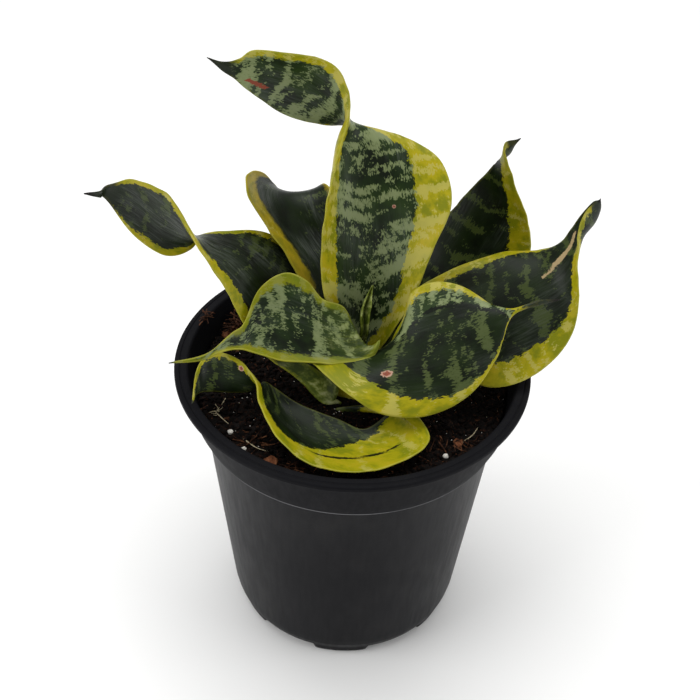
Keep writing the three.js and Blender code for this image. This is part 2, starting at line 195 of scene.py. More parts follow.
def leaf_skin(settings):
    """Waxy succulent leaf: semi-gloss cuticle over dark green, with broken silver cross bands,
    yellow margins into which the bands run on as pale blotches, and a dark dry tip."""
    material, tree = new_material("snake_plant_cuticle_waxy")
    at = {
        name: add(tree, "ShaderNodeAttribute", attribute_name=name, out="Fac")
        for name in (*MEASURES, *TRAITS)
    }

    def pattern(across_per_mm, along_per_mm, detail, rough, offset, along=at["along_mm"]):
        """Noise stretched over the blade, with its own rate across and along, per mm."""
        x = add(tree, "MULTIPLY_ADD", at["across_mm"], across_per_mm, offset)
        y = add(tree, "MULTIPLY", along, along_per_mm)
        place = add(tree, "ShaderNodeCombineXYZ", x, y, offset * 1.7)
        return add(tree, "noise", place, 1.0, detail, rough)

    # Cross bands rise from the midrib towards both margins. Blotches of 4 to 5 mm, and flecks
    # under 1 mm wide drawn out along the blade, break their edges.
    comb = add(tree, "MULTIPLY_ADD", pattern(1.3, 0.12, 2.0, 0.5, 11.0), 5.0, -2.5)
    from_midrib = add(tree, "ABSOLUTE", at["across_mm"])
    rising = add(tree, "MULTIPLY_ADD", from_midrib, -0.32, at["along_mm"])
    rising = add(tree, "ADD", rising, comb)
    bands = pattern(0.03, 1.05 / settings.band_pitch, 1.0, 0.4, 3.0, rising)
    blotches = pattern(0.24, 0.2, 3.0, 0.62, 41.0)
    flecks = pattern(1.5, 0.62, 2.0, 0.6, 57.0)
    tone = add(tree, "MULTIPLY_ADD", bands, 1.1, -0.75)
    for part, weight in ((blotches, 0.85), (flecks, 0.55), (at["pallor_and_shade"], 0.1)):
        tone = add(tree, "MULTIPLY_ADD", part, weight, tone)
    silvered = add(tree, "step", tone, 0.535, 0.575)
    # A low pallor also paints shade: on blades lying in the shade of others it dulls the silver towards
    # olive and darkens the ground green towards near-black.
    lit = add(tree, "step", at["pallor_and_shade"], -0.5, 0.35)
    silver = add(tree, "mix", lit, linear("#37421b"), linear(settings.silver_green))
    glow = add(tree, "MULTIPLY", lit, 0.5)
    glow = add(tree, "MULTIPLY", glow, add(tree, "step", tone, 0.56, 0.72))
    silver = add(tree, "mix", glow, silver, linear("#8a936a"))
    depth = pattern(0.09, 0.06, 3.0, 0.6, 17.0)
    greens = [(0.36, "#0a1404"), (0.5, settings.deep_green), (0.66, "#21330c")]
    dark = add(tree, "ramp", depth, stops=greens)
    painted_shade = add(tree, "MULTIPLY_ADD", lit, -0.6, 0.6)
    dark = add(tree, "mix", painted_shade, dark, linear("#060a03"))
    green = add(tree, "mix", silvered, dark, silver)

    # The margins are gold in patches, rusty on an old blade and still green on a young one.
    patchy = add(tree, "SUBTRACT", blotches, 0.5)
    patchy = add(tree, "MULTIPLY_ADD", patchy, 0.8, depth)
    golds = [(0.34, "#7a7d0c"), (0.45, "#918c0b"), (0.53, settings.margin_yellow), (0.68, "#aa9a18")]
    gold = add(tree, "ramp", patchy, stops=golds)
    rusty = add(tree, "MULTIPLY", at["rust"], depth)
    gold = add(tree, "mix", rusty, gold, linear("#a0661a"))
    pale = add(tree, "MULTIPLY", silvered, 0.72)
    gold = add(tree, "mix", pale, gold, linear("#b0a855"))
    unripe = add(tree, "MULTIPLY", at["young"], 0.6)
    gold = add(tree, "mix", unripe, gold, linear("#53640f"))
    wander = add(tree, "MULTIPLY_ADD", blotches, 8.0, -6.0)
    wander = add(tree, "MULTIPLY_ADD", flecks, 4.0, wander)
    loose = add(tree, "step", at["inset_mm"], -7.0, -1.0)
    edge = add(tree, "MULTIPLY_ADD", wander, loose, at["inset_mm"])
    outer = add(tree, "MULTIPLY", at["soft"], -1.0)
    inside = add(tree, "step", edge, outer, at["soft"])
    colour = add(tree, "mix", inside, gold, green)
    # A thin pale line right along the edge of the blade is a painted rim highlight, faint where there is
    # no margin.
    rim = add(tree, "step", at["rim_mm"], 0.9, 0.15)
    rim = add(tree, "MULTIPLY", rim, add(tree, "MULTIPLY_ADD", inside, -0.44, 0.55))
    colour = add(tree, "mix", rim, colour, linear("#a3a038"))

    # The clasping base is pale olive with soft round blotches.
    olives = [(0.42, "#3f4e14"), (0.52, "#5f6c24"), (0.6, "#8a9350"), (0.7, "#a3a874")]
    olive = add(tree, "ramp", blotches, stops=olives)
    basal = add(tree, "ADD", at["base_mm"], comb)
    basal = add(tree, "step", basal, BASE_SPAN, 0.35 * BASE_SPAN)
    basal = add(tree, "MULTIPLY", basal, 0.9)
    colour = add(tree, "mix", basal, colour, olive)

    # Painted sheen: faint grey streaks along the blade, in drifts, standing in for the grey gloss of the
    # cuticle.
    sheen_streaks = add(tree, "step", pattern(1.2, 0.09, 4.0, 0.68, 211.0), 0.3, 0.85)
    sheen_drift = add(tree, "step", pattern(0.06, 0.03, 3.0, 0.55, 201.0), 0.4, 0.68)
    for part in (sheen_drift, at["painted_sheen"], inside):
        sheen_streaks = add(tree, "MULTIPLY", sheen_streaks, part)
    colour = add(tree, "mix", sheen_streaks, colour, linear("#666b66"))

    # One healed streak or fold to a blade, of its own colour.
    streak = add(tree, "MULTIPLY_ADD", flecks, 1.8, at["streak_mm"])
    streaked = add(tree, "step", streak, 1.15, 0.75)
    tint = add(tree, "ShaderNodeAttribute", attribute_name="streak_colour", out="Color")
    colour = add(tree, "mix", streaked, colour, tint)

    # The tip is dark grey-green and dries to a near-black point.
    ragged = add(tree, "MULTIPLY_ADD", comb, 0.5, at["tip_mm"])
    greying = add(tree, "step", ragged, 17.0, 11.0)
    greying = add(tree, "MULTIPLY", greying, 0.94)
    colour = add(tree, "mix", greying, colour, linear("#1d2418"))
    drying = add(tree, "step", ragged, 6.0, 1.5)
    colour = add(tree, "mix", drying, colour, linear("#14110e"))

    # One healed scar to a blade: a brown-pink patch with a corky rim.
    scar = add(tree, "ShaderNodeAttribute", attribute_name="scar_mm", out="Vector")
    scabby = add(tree, "noise", scar, 0.8, 3.0)
    distance = add(tree, "ShaderNodeVectorMath", scar, operation="LENGTH")
    distance = add(tree, "MULTIPLY_ADD", scabby, 2.6, distance)
    scarred = add(tree, "step", distance, 3.8, 3.5)
    corky = add(tree, "MULTIPLY", scarred, add(tree, "step", distance, 2.7, 3.1))
    flesh = add(tree, "ramp", scabby, stops=[(0.4, "#7c3d2c"), (0.5, "#9a5a48"), (0.6, "#6b4034")])
    colour = add(tree, "mix", scarred, colour, flesh)
    colour = add(tree, "mix", corky, colour, linear("#b3917c"))

    # The wax is rubbed in patches. The scar and the dry point are duller, and fine fibres and the
    # silver bands stand up a little.
    rough = add(tree, "MULTIPLY_ADD", pattern(0.12, 0.06, 4.0, 0.6, 131.0), 0.3, 0.22)
    for dull in (scarred, drying):
        rough = add(tree, "MULTIPLY_ADD", dull, 0.3, rough)
    fibre = pattern(2.4, 0.05, 3.0, 0.6, 151.0)
    height = add(tree, "MULTIPLY_ADD", silvered, 0.5, fibre)
    height = add(tree, "SUBTRACT", height, scarred)
    bump = add(tree, "ShaderNodeBump", Strength=0.3, Distance=0.3 * MM, Height=height)
    shader = add(
        tree,
        "ShaderNodeBsdfPrincipled",
        colour,
        Roughness=rough,
        Normal=bump,
        IOR=1.45,
        Specular_IOR_Level=0.2,
    )
    add(tree, "ShaderNodeOutputMaterial", shader)
    return material


def peat_mix(settings):
    """Damp peat and bark potting mix: near-black brown and matt, with crumbs of 4 mm, wetter clods
    of 14 mm and paler fibres of 1 mm."""
    material, tree = new_material("peat_potting_mix_damp")
    place = add(tree, "ShaderNodeTexCoord", out="Object")
    crumb = add(tree, "noise", place, pitch(3.85), 6.0, 0.65)
    clod = add(tree, "noise", place, pitch(14.3), 4.0)
    combed = add(
        tree, "ShaderNodeMapping", place, Scale=(1.0, 0.25, 1.0), Rotation=(0.0, 0.0, 0.7)
    )
    fibre = add(tree, "noise", combed, pitch(1.11), 2.0)
    browns = [(0.3, "#050303"), (0.5, settings.soil_colour), (0.62, "#1b110c"), (0.75, "#332015")]
    colour = add(tree, "ramp", crumb, stops=browns)
    fibrous = add(tree, "step", fibre, 0.66, 0.74)
    fibrous = add(tree, "MULTIPLY", fibrous, 0.5)
    colour = add(tree, "mix", fibrous, colour, linear("#5a3d2a"))
    wet = add(tree, "step", clod, 0.45, 0.7)
    rough = add(tree, "MULTIPLY_ADD", wet, -0.3, 0.88)
    height = add(tree, "MULTIPLY_ADD", clod, 1.4, crumb)
    bump = add(tree, "ShaderNodeBump", Strength=0.9, Distance=1.5 * MM, Height=height)
    shader = add(
        tree,
        "ShaderNodeBsdfPrincipled",
        colour,
        Roughness=rough,
        Normal=bump,
        IOR=1.4,
        Specular_IOR_Level=0.2,
    )
    add(tree, "ShaderNodeOutputMaterial", shader)
    return material


def mottled(name, stops, grain_mm, roughness, bump_mm, stretch=(1, 1, 1)):
    """Matt natural stuff: colour stops over a noise of the given grain, and a bump of its own."""
    material, tree = new_material(name)
    place = add(tree, "ShaderNodeTexCoord", out="Object")
    place = add(tree, "ShaderNodeMapping", place, Scale=stretch)
    grain = add(tree, "noise", place, pitch(grain_mm), 5.0, 0.6)
    colour = add(tree, "ramp", grain, stops=stops)
    bump = add(tree, "ShaderNodeBump", Strength=0.8, Distance=bump_mm * MM, Height=grain)
    shader = add(
        tree,
        "ShaderNodeBsdfPrincipled",
        colour,
        Roughness=roughness,
        Normal=bump,
        IOR=1.45,
        Specular_IOR_Level=0.15,
    )
    add(tree, "ShaderNodeOutputMaterial", shader)
    return material


# Perlite is expanded glass: chalky and white, with grey hollows. Grains and specks share it.
PERLITE_TONES = [(0.3, "#b9b4a8"), (0.5, "#e2dfd6"), (0.7, "#f4f2ec")]


# ---- Shapes ------------------------------------------------------------------
def clasp(facing, spread, radius, height):
    """A cut of a blade's base: an arc round the crown, as near margin, midrib, far margin."""
    angles = [math.radians(facing + side * spread) for side in (1, 0, -1)]
    return [c for a in angles for c in (radius * math.cos(a), radius * math.sin(a), height)]


# Each blade is a row of cuts from base to tip, in mm from the crown at soil level, the same as in
# the part. A cut is three points: near margin, midrib, far margin. The other entries are:
# margins     widths in mm of the yellow bands, one for each cut, near side then far side; where
#             a width is under 0 that side has no band
# scar        its place across and along the blade, and its size, in mm
# streak      where it starts and ends along the blade, how far in from the near margin it lies at
#             each end, half its width, and its colour
# pallor      how pale and many the silver bands are, and, set low, painted shade on blades
#             that lie in shade; strip_pallor adds to it between the near margin and the streak
# pale_base   length of the olive base in mm, and dark_tip that of the dark tip
# young       how green the margins still are; the sheen entry how strong the painted grey
#             sheen is, rust how rusty, and soft half the width in mm over which margin and green
#             run together
BLADES = {
    "leaf_young_spike": {
        "cuts": [
            clasp(90, 60, 2.5, -9),
            clasp(90, 60, 3, 12),
            [3, -2, 30, 4, 3, 27, 6, -1, 31],
            [3, -1, 43, 4, 4, 41, 7, 0, 44],
            [7, 5, 55, 8, 6, 55, 8, 5, 55],
        ],
        "margins": (
            [0.6] * 5,
            [0.6] * 5,
        ),
        "pallor_and_shade": 0.6,
        "young": 1.0,
        "pale_base": 400,
        "dark_tip": 2,
    },
    "leaf_tall_centre": {
        "cuts": [
            clasp(90, 75, 6, -9),
            clasp(90, 75, 8, 9),
            [-14, 2, 46, 5, 15, 34, 24, 6, 41],
            [-16, 3, 70, 4, 18, 61, 33, 10, 70],
            [-14, 5, 95, 1, 22, 87, 40, 17, 91],
            [-10, 14, 113, -3, 28, 109, 34, 30, 105],
            [-8, 18, 122, -6, 28, 116, 16, 37, 112],
            [-6, 20, 132, -7, 28, 124, -4, 38, 115],
            [-7, 20, 143, -13, 28, 131, -19, 32, 119],
            [-16, 20, 155, -26, 28, 140, -34, 25, 127],
            [-42, 18, 160, -45, 20, 150, -47, 16, 142],
            [-51, 16, 157, -53, 17, 152, -53, 15, 148],
            [-57, 14, 156, -57, 15, 154, -58, 14, 152],
            [-64, 12, 159, -64, 12, 159, -64, 12, 158],
        ],
        "margins": (
            [6, 8, 10, 11, 11, 10, 9, 8, 6, 4.5, 3.5, 2.5, -1, -1],
            [5, 7, 10, 13, 16, 14, 8, 3, 0.5, -1, -1, -1, -1, -1],
        ),
        "scar": (14, 96, 1.1),
        "streak": (178, 189, 20.5, 14, 0.8, "#7d3620"),
        "pallor_and_shade": 0.35,
        "dark_tip": 14,
        "painted_sheen": 0.4,
    },
    "leaf_left_cup": {
        "cuts": [
            clasp(240, 72, 9.5, -9),
            clasp(240, 75, 10, 10),
            [12, -9, 33, 6, -10, 29, -1, -3, 33],
            [9, -14, 28, -2, -11, 29, -5, -1, 45],
            [-4, -17, 26, -12, -10, 30, -15, 1, 48],
            [-19, -19, 27, -24, -10, 33, -22, 3, 56],
            [-32, -21, 29, -35, -10, 37, -32, 4, 59],
            [-42, -23, 34, -44, -13, 38, -43, -2, 54],
            [-50, -24, 37, -49, -18, 36, -49, -11, 42],
            [-58, -25, 36, -57, -22, 37, -54, -18, 41],
            [-66, -28, 33, -66, -27, 34, -65, -26, 35],
            [-80, -33, 34, -80, -33, 35, -80, -33, 36],
        ],
        "margins": (
            [4, 4, 4, 4.5, 5, 5, 5, 4.5, 4, 2, 1, 1],
            [3, 3, 2, 2, 3, 4, 5, 5.5, 4, 2, 1, 1],
        ),
        "pallor_and_shade": 0.1,
        "young": 1.0,
        "soft": 1.1,
        "pale_base": 72,
        "dark_tip": 2,
    },
    "leaf_right_cup": {
        "cuts": [
            clasp(300, 70, 13, -9),
            clasp(300, 70, 13.5, 7),
            [18, -1, 30, 11, -8, 24, -18, -16, 24],
            [23, 1, 42, 17, -13, 31, -2, -33, 22],
            [25, 3, 52, 26, -14, 36, 14, -38, 15],
            [35, 5, 57, 38, -14, 41, 33, -37, 14],
            [48, 2, 57, 50, -14, 46, 51, -32, 22],
            [60, -4, 52, 62, -13, 52, 63, -22, 36],
            [69, -9, 54, 69, -11, 55, 68, -13, 52],
            [79, -7, 58, 79, -8, 57, 79, -8, 56],
            [90, -4, 58, 90, -4, 57, 90, -4, 56],
        ],
        "margins": (
            [4, 4, 4, 4, 4, 4, 3.5, 2.5, 2, 1, 0.5],
            [9, 10, 11, 11, 10, 8, 5, 3, 2.5, 1, 0.5],
        ),
        "scar": (14, 50, 2.3),
        "streak": (48, 100, 15.5, 6, 1.0, "#0b1207"),
        "strip_pallor": 1.3,
        "pallor_and_shade": -0.3,
        "pale_base": 6,
        "dark_tip": 20,
    },
    "leaf_back_arched": {
        "cuts": [
            clasp(120, 48, 13, -9),
            clasp(120, 48, 15, 9),
            [-25, 12, 47, -11, 26, 39, 2, 26, 40],
            [-41, 24, 69, -25, 40, 55, -2, 40, 59],
            [-50, 28, 83, -33, 50, 67, -11, 50, 70],
            [-51, 38, 88, -33, 62, 63, -17, 58, 72],
            [-44, 54, 78, -32, 76, 49, -20, 70, 59],
            [-35, 76, 46, -30, 88, 31, -24, 84, 40],
            [-29, 92, 17, -28, 92, 16, -28, 92, 15],
        ],
        "margins": (
            [5, 6, 8, 10, 10, 9, 6, 4, 2],
            [3, 3, 3, 3, 3, 2, 1, 1, 1],
        ),
        "scar": (10, 76, 1.8),
        "pallor_and_shade": -1.5,
        "painted_sheen": 0.8,
        "soft": 2.0,
        "rust": 0.45,
    },
    "leaf_left_twisted": {
        "cuts": [
            clasp(175, 48, 17, -9),
            clasp(175, 48, 18.5, 7),
            [-40, -10, 23, -29, 6, 32, -16, 28, 43],
            [-57, -8, 57, -51, 8, 60, -40, 30, 61],
            [-66, -8, 75, -64, 5, 71, -58, 19, 70],
            [-71, -6, 85, -71, 5, 75, -69, 15, 70],
            [-75, -6, 95, -77, 2, 79, -74, 8, 67],
            [-81, -7, 106, -85, 0, 85, -84, 2, 67],
            [-93, -8, 112, -95, -2, 96, -96, -3, 80],
            [-103, -10, 111, -105, -7, 106, -106, -7, 101],
            [-107, -11, 108, -108, -10, 106, -108, -10, 104],
            [-114, -12, 108, -114, -12, 107, -114, -12, 106],
        ],
        "margins": (
            [4, 4, 5, 5, 4, 4, 3.5, 3, 2.5, 2, -1, -1],
            [4, 4, 4, 4, 3, 3, 4, 4.5, 3, 1, -1, -1],
        ),
        "streak": (22, 70, 6, 6, 0.7, "#1c1a10"),
        "pallor_and_shade": -1.0,
        "dark_tip": 18,
        "painted_sheen": 0.7,
    },
    "leaf_right_wide": {
        "cuts": [
            clasp(15, 48, 17, -9),
            clasp(15, 48, 18, 9),
            [23, 22, 34, 30, 8, 24, 38, -8, 18],
            [42, 28, 46, 52, 9, 36, 63, -18, 16],
            [66, 32, 55, 74, 12, 49, 85, -12, 22],
            [81, 31, 58, 88, 16, 57, 99, -2, 40],
            [91, 26, 66, 96, 16, 68, 97, 8, 72],
            [95, 24, 76, 99, 17, 77, 96, 11, 82],
            [98, 22, 85, 103, 16, 85, 97, 11, 91],
            [101, 18, 94, 104, 14, 93, 100, 11, 98],
            [103, 13, 100, 103, 12, 100, 102, 11, 100],
        ],
        "margins": (
            [4, 4, 5, 5, 5, 4, -1, -1, -1, -1, -1],
            [8, 8, 9, 11, 12, 8, 4, 2.5, 2, 1.5, -1],
        ),
        "streak": (101, 128, 19, 3.5, 1.1, "#a18c66"),
        "dark_tip": 11,
        "pallor_and_shade": -0.45,
        "painted_sheen": 0.3,
    },
    "leaf_right_back": {
        "cuts": [
            clasp(60, 48, 21, -9),
            clasp(60, 48, 22, 9),
            [23, 36, 31, 38, 40, 27, 57, 40, 22],
            [35, 48, 54, 51, 52, 43, 80, 46, 40],
            [50, 56, 71, 62, 56, 68, 79, 46, 62],
            [60, 56, 86, 63, 54, 86, 70, 44, 85],
            [66, 50, 96, 64, 47, 100, 63, 45, 104],
            [70, 44, 109, 70, 44, 109, 69, 44, 110],
        ],
        "margins": (
            [-4, -4, -4, -4, -4, -4, -4, -4],
            [11, 11, 11, 11, 11, 9, 4, 1],
        ),
        "pallor_and_shade": -0.6,
        "dark_tip": 9,
    },
    "leaf_front_low": {
        "cuts": [
            clasp(295, 42, 21, -9),
            clasp(295, 42, 22, 2),
            [35, -41, 8, 26, -32, 4, 17, -25, 8],
            [28, -57, 9, 17, -44, 3, 7, -38, 6],
            [9, -68, 9, 0, -47, 3, -7, -34, 8],
            [-12, -68, 10, -19, -43, 4, -23, -27, 9],
            [-29, -57, 13, -32, -33, 8, -34, -23, 14],
            [-40, -39, 18, -39, -29, 16, -39, -23, 18],
            [-43, -29, 23, -42, -26, 19, -42, -24, 15],
            [-50, -22, 29, -50, -26, 23, -49, -28, 15],
            [-63, -18, 30, -63, -25, 24, -62, -29, 16],
            [-69, -24, 25, -68, -27, 21, -68, -31, 16],
            [-71, -37, 16, -70, -38, 16, -70, -38, 15],
        ],
        "margins": (
            [16, 20, 26, 27, 24, 17, 10, 5, 4, 3, 3, 3, 1],
            # The far side has no band and stays dark green: painted shade for the half that lies under
            # the blades above.
            [-6] * 13,
        ),
        "scar": (-4, 128, 1.5),
        "streak": (46, 92, 13, 12.5, 0.9, "#10190b"),
        "pallor_and_shade": -0.8,
        # Here young also paints shade: it dulls this low blade's margin towards olive where it lies
        # under the blade above.
        "young": 0.25,
        "dark_tip": 2,
        "painted_sheen": 0.35,
    },
    "leaf_small_inner": {
        "cuts": [
            clasp(240, 17, 17.5, -9),
            clasp(239, 17, 18, 2),
            [-13, -23, 7, -9, -18, 6, -6, -13, 8],
            [-25, -19, 17, -22, -17, 18, -18, -15, 21],
            [-37, -18, 27, -35, -16, 27, -31, -14, 28],
            [-46, -16, 34, -46, -16, 33, -45, -15, 34],
        ],
        "margins": (
            [0.7] * 6,
            [0.7] * 6,
        ),
        "pallor_and_shade": -0.6,
        "young": 0.8,
        "pale_base": 60,
        "dark_tip": 2,
    },
}


def spline(a, b, c, d, t):
    rise = (c - a) * t
    second = (2 * a - 5 * b + 4 * c - d) * t * t
    third = (3 * b - a - 3 * c + d) * t * t * t
    return 0.5 * (2 * b + rise + second + third)


def blade_point(cuts, along, across):
    """Point on a blade in mm: along is one unit to a cut, across runs from -1 to 1."""
    last = len(cuts) - 1
    span = min(max(int(math.floor(along)), 0), last - 1)
    t = along - span
    if span > 0:
        before = cuts[span - 1]
    else:
        before = [2 * v - w for v, w in zip(cuts[0], cuts[1])]
    if span + 2 <= last:
        after = cuts[span + 2]
    else:
        after = [2 * v - w for v, w in zip(cuts[last], cuts[last - 1])]
    near, far = across * (across - 1) / 2, across * (across + 1) / 2
    middle = 1 - across * across
    at = [spline(before[j], cuts[span][j], cuts[span + 1][j], after[j], t) for j in range(9)]
    return Vector([near * at[k] + middle * at[k + 3] + far * at[k + 6] for k in range(3)])


def between(values, along):
    """The value at a place along the blade, from one value for each cut."""
    span = min(int(along), len(values) - 2)
    return values[span] + (values[span + 1] - values[span]) * (along - span)

# Stands for a streak or a scar on a blade that has none: past the end of any blade.
NO_STREAK = (900, 901, 0, 0, 0, "#000000")
NO_SCAR = (500, 500, 3)
BASE_SPAN = 30  # base_mm runs to this over the length of a pale base
TIP_SPAN = 16  # and tip_mm to this over the length of a dark tip
PATTERN_STEP = 410  # mm between the stretches of pattern that two blades use


def narrowing(cuts, along):
    """How much a blade has drawn in towards its point, from 0 before its last span to 1."""
    return max(0, along - len(cuts) + 2) ** 2


def blade_rows(cuts, number, settings):
    """The middle surface of a blade as rows of (place in mm, normal, across from -1 to 1)."""
    per_cut, columns = settings.rows_per_cut, settings.half_columns * 2
    count = (len(cuts) - 1) * per_cut
    step = 0.01
    rows = []
    for i in range(count + 1):
        along = i / per_cut
        midrib = blade_point(cuts, along, 0)
        row = []
        for j in range(columns + 1):
            # Columns crowd towards the margins, where the blade rounds off.
            across = math.sin((j / columns - 0.5) * math.pi * 0.9) / math.sin(math.pi * 0.45)
            here = blade_point(cuts, along, across)
            here = midrib.lerp(here, 1 - 0.75 * narrowing(cuts, along))
            forward = blade_point(cuts, along + step, across) - blade_point(cuts, along - step, across)
            sideways = blade_point(cuts, along, across + step) - blade_point(cuts, along, across - step)
            normal = forward.cross(sideways).normalized()
            swell = noise.noise(here * 0.055 + Vector((number * 7, 0, 0)))
            ripple = noise.noise(here * 0.16 + Vector((0, number * 5, 0))) * abs(across) ** 3
            fade = min(1, i / (2 * per_cut)) * min(1, (count - i) / per_cut)
            row.append((here + normal * (0.5 * swell + 0.55 * ripple) * fade, normal, across))
        rows.append(row)
    return rows


def skin_measures(spec, number, across, near_edge, far_edge, widths, run, rest):
    """The values of MEASURES at a point, in that order, from its distances in mm: across from the
    midrib, in from each margin, run from the base and rest to the tip."""
    start, end, near_start, near_end, half_width, _ = spec.get("streak", NO_STREAK)
    slide = min(max((run - start) / (end - start), 0), 1)
    past_streak = near_edge - near_start - (near_end - near_start) * slide
    beyond = max(start - run, run - end, 0)
    slim = half_width * (1.2 - 2.2 * (slide - 0.5) ** 2)
    strip = min(max(-past_streak / 1.5, 0), 1) * max(1 - beyond / 12, 0)
    return (
        across,
        run + number * PATTERN_STEP,
        min(near_edge - widths[0], far_edge - widths[1]),
        min(near_edge, far_edge),
        run * BASE_SPAN / spec.get("pale_base", 16),
        rest * TIP_SPAN / spec.get("dark_tip", 16),
        abs(past_streak) - slim + beyond * 0.4,
        spec.get("pallor_and_shade", 0) + strip * spec.get("strip_pallor", 0),
    )


def make_blade(name, spec, number, settings, material):
    """A closed, thick blade with rounded margins, and the measures its skin reads."""
    cuts = spec["cuts"]
    rows = blade_rows(cuts, number, settings)
    last, middle = len(rows) - 1, settings.half_columns
    columns = middle * 2
    runs = [0.0]
    for before, after in zip(rows, rows[1:]):
        runs.append(runs[-1] + (after[middle][0] - before[middle][0]).length)
    scar_across, scar_along, scar_size = spec.get("scar", NO_SCAR)
    soil = Vector((0, 0, SOIL_LEVEL / MM))
    vertices, measures, scars = [], [], []
    for i, row in enumerate(rows):
        along = i / settings.rows_per_cut
        across = [0.0] * (columns + 1)
        for j in range(middle + 1, columns + 1):
            across[j] = across[j - 1] + (row[j][0] - row[j - 1][0]).length
        for j in range(middle - 1, -1, -1):
            across[j] = across[j + 1] - (row[j][0] - row[j + 1][0]).length
        taper = min(1, 0.3 + 1.4 * (1 - i / last)) * settings.thickness / MM / 2
        taper *= 1 - 0.5 * narrowing(cuts, along)
        widths = [between(side, along) for side in spec["margins"]]
        # Over the front face from margin to margin, and back over the other.
        for side, order in ((1, range(columns + 1)), (-1, range(columns, -1, -1))):
            for j in order:
                place, normal, v = row[j]
                half = taper * math.sqrt(max(1 - (abs(v) ** 2.6), 0)) ** 0.8
                half = max(half * 0.9, 0.18 * taper)
                vertices.append((place + normal * half * side + soil) * MM)
                edges = across[j] - across[0], across[columns] - across[j]
                run, rest = runs[i], runs[-1] - runs[i]
                measures.append(skin_measures(spec, number, across[j], *edges, widths, run, rest))
                away = across[j] - scar_across, run - scar_along
                scars += [away[0] * 3 / scar_size, away[1] * 3 / scar_size, 0.0]
    size = 2 * (columns + 1)
    faces = []
    for i in range(last):
        for k in range(size):
            a, b = i * size + k, i * size + (k + 1) % size
            faces.append((a, a + size, b + size, b))
    faces.append(tuple(range(size)))
    faces.append(tuple(reversed(range(last * size, (last + 1) * size))))
    made = new_object(name + "_blade", vertices, faces, material)
    attributes = made.data.attributes
    for key, numbers in zip(MEASURES, zip(*measures)):
        attributes.new(key, "FLOAT", "POINT").data.foreach_set("value", numbers)
    for key, usual in TRAITS.items():
        numbers = [spec.get(key, usual)] * len(vertices)
        attributes.new(key, "FLOAT", "POINT").data.foreach_set("value", numbers)
    tint = linear(spec.get("streak", NO_STREAK)[-1])
    paint = attributes.new("streak_colour", "FLOAT_COLOR", "POINT")
    paint.data.foreach_set("color", list(tint) * len(vertices))
    attributes.new("scar_mm", "FLOAT_VECTOR", "POINT").data.foreach_set("vector", scars)
    return made


def turned(name, profile, material, around=168, shape=None):
    """A closed body turned round the upright axis from [radius, height] pairs in mm, going
    anticlockwise and starting and ending on the axis. shape(r, z, angle) may move a point."""
    vertices, faces = [], []
    rings = profile[1:-1]
    for r, z in rings:
        for k in range(around):
            angle = 2 * math.pi * k / around
            rr, zz = shape(r, z, angle) if shape else (r, z)
            vertices.append((rr * MM * math.cos(angle), rr * MM * math.sin(angle), zz * MM))
    for i in range(len(rings) - 1):
        for k in range(around):
            a, b = i * around + k, i * around + (k + 1) % around
            faces.append((a, b, b + around, a + around))
    for end, ring, flip in ((profile[0], 0, True), (profile[-1], len(rings) - 1, False)):
        vertices.append((0.0, 0.0, end[1] * MM))
        hub = len(vertices) - 1
        for k in range(around):
            a, b = ring * around + k, ring * around + (k + 1) % around
            faces.append((hub, b, a) if flip else (hub, a, b))
    return new_object(name, vertices, faces, material)


def rounded(profile, radius=0.6, steps=3):
    """The profile with its inner corners rounded, radius in mm."""
    out = [profile[0]]
    for before, here, after in zip(profile, profile[1:], profile[2:]):
        a, b, c = Vector(before), Vector(here), Vector(after)
        reach = min(radius, (a - b).length * 0.4, (c - b).length * 0.4)
        start, stop = b + (a - b).normalized() * reach, b + (c - b).normalized() * reach
        if (b - a).angle(c - b, 0.0) < 0.12:
            out.append(tuple(b))
            continue
        for k in range(steps + 1):
            t = k / steps
            out.append(tuple(start * (1 - t) ** 2 + b * 2 * t * (1 - t) + stop * t * t))
    out.append(profile[-1])
    return out


def soil_height(x, y):
    """Top of the soil in mm over the pot's foot."""
    here = Vector((x, y, 0.0))
    r = here.length
    dome = 1.6 * max(0.0, 1 - (r / 45) ** 2)
    clods = 1.1 * noise.noise(here * 0.07) + 0.9 * noise.noise(here * 0.19 + Vector((9, 2, 0)))
    crumbs = 0.55 * noise.noise(here * 0.52) + 0.3 * noise.noise(here * 1.3)
    return SOIL_LEVEL / MM + dome + clods + crumbs - 0.4


# ---- Settings ----------------------------------------------------------------
def length(name, description, default, low=0.0, high=1.0):
    return bpy.props.FloatProperty(
        name=name,
        description=description,
        default=default,
        min=low,
        max=high,
        precision=4,
        subtype="DISTANCE",
        unit="LENGTH",
    )


def words(name, description, default):
    return bpy.props.StringProperty(name=name, description=description, default=default)


class PotSettings(bpy.types.PropertyGroup):
    """Sizes and colour of the nursery pot."""

    rim_radius: length("Rim radius", "Outside of the lip", RIM_RADIUS, 0.02, 0.3)
    height: length("Height", "Foot to lip", POT_HEIGHT, 0.02, 0.4)
    lip_width: length("Lip width", "Flat top of the lip", 0.0065, 0.001, 0.02)
    wall: length("Wall", "Thickness of the moulded wall", 0.002, 0.0005, 0.01)
    recess: length("Foot height", "Feet stand this far below the base", 0.0045, 0.0, 0.01)
    pot_colour: words("Plastic", "Colour of the plastic as sRGB hex", "#0a0a0e")


class LeafSettings(bpy.types.PropertyGroup):
    """Thickness, pattern and colours of the leaves."""

    thickness: length("Thickness", "Along the middle of a blade", 0.0026, 0.001, 0.006)
    band_pitch: bpy.props.FloatProperty(
        name="Band pitch", description="Width of a cross band in mm", default=6.0, min=1, max=30
    )
    rows_per_cut: bpy.props.IntProperty(
        name="Rows", description="Mesh rows between two cuts", default=9, min=2, max=24
    )
    half_columns: bpy.props.IntProperty(
        name="Columns", description="Mesh columns from midrib to margin", default=12, min=3, max=32
    )
    deep_green: words("Deep green", "Ground colour of the blade as sRGB hex", "#172709")
    silver_green: words("Silver", "Colour of the cross bands as sRGB hex", "#67744a")
    margin_yellow: words("Margin", "Colour of the margins as sRGB hex", "#9d950f")


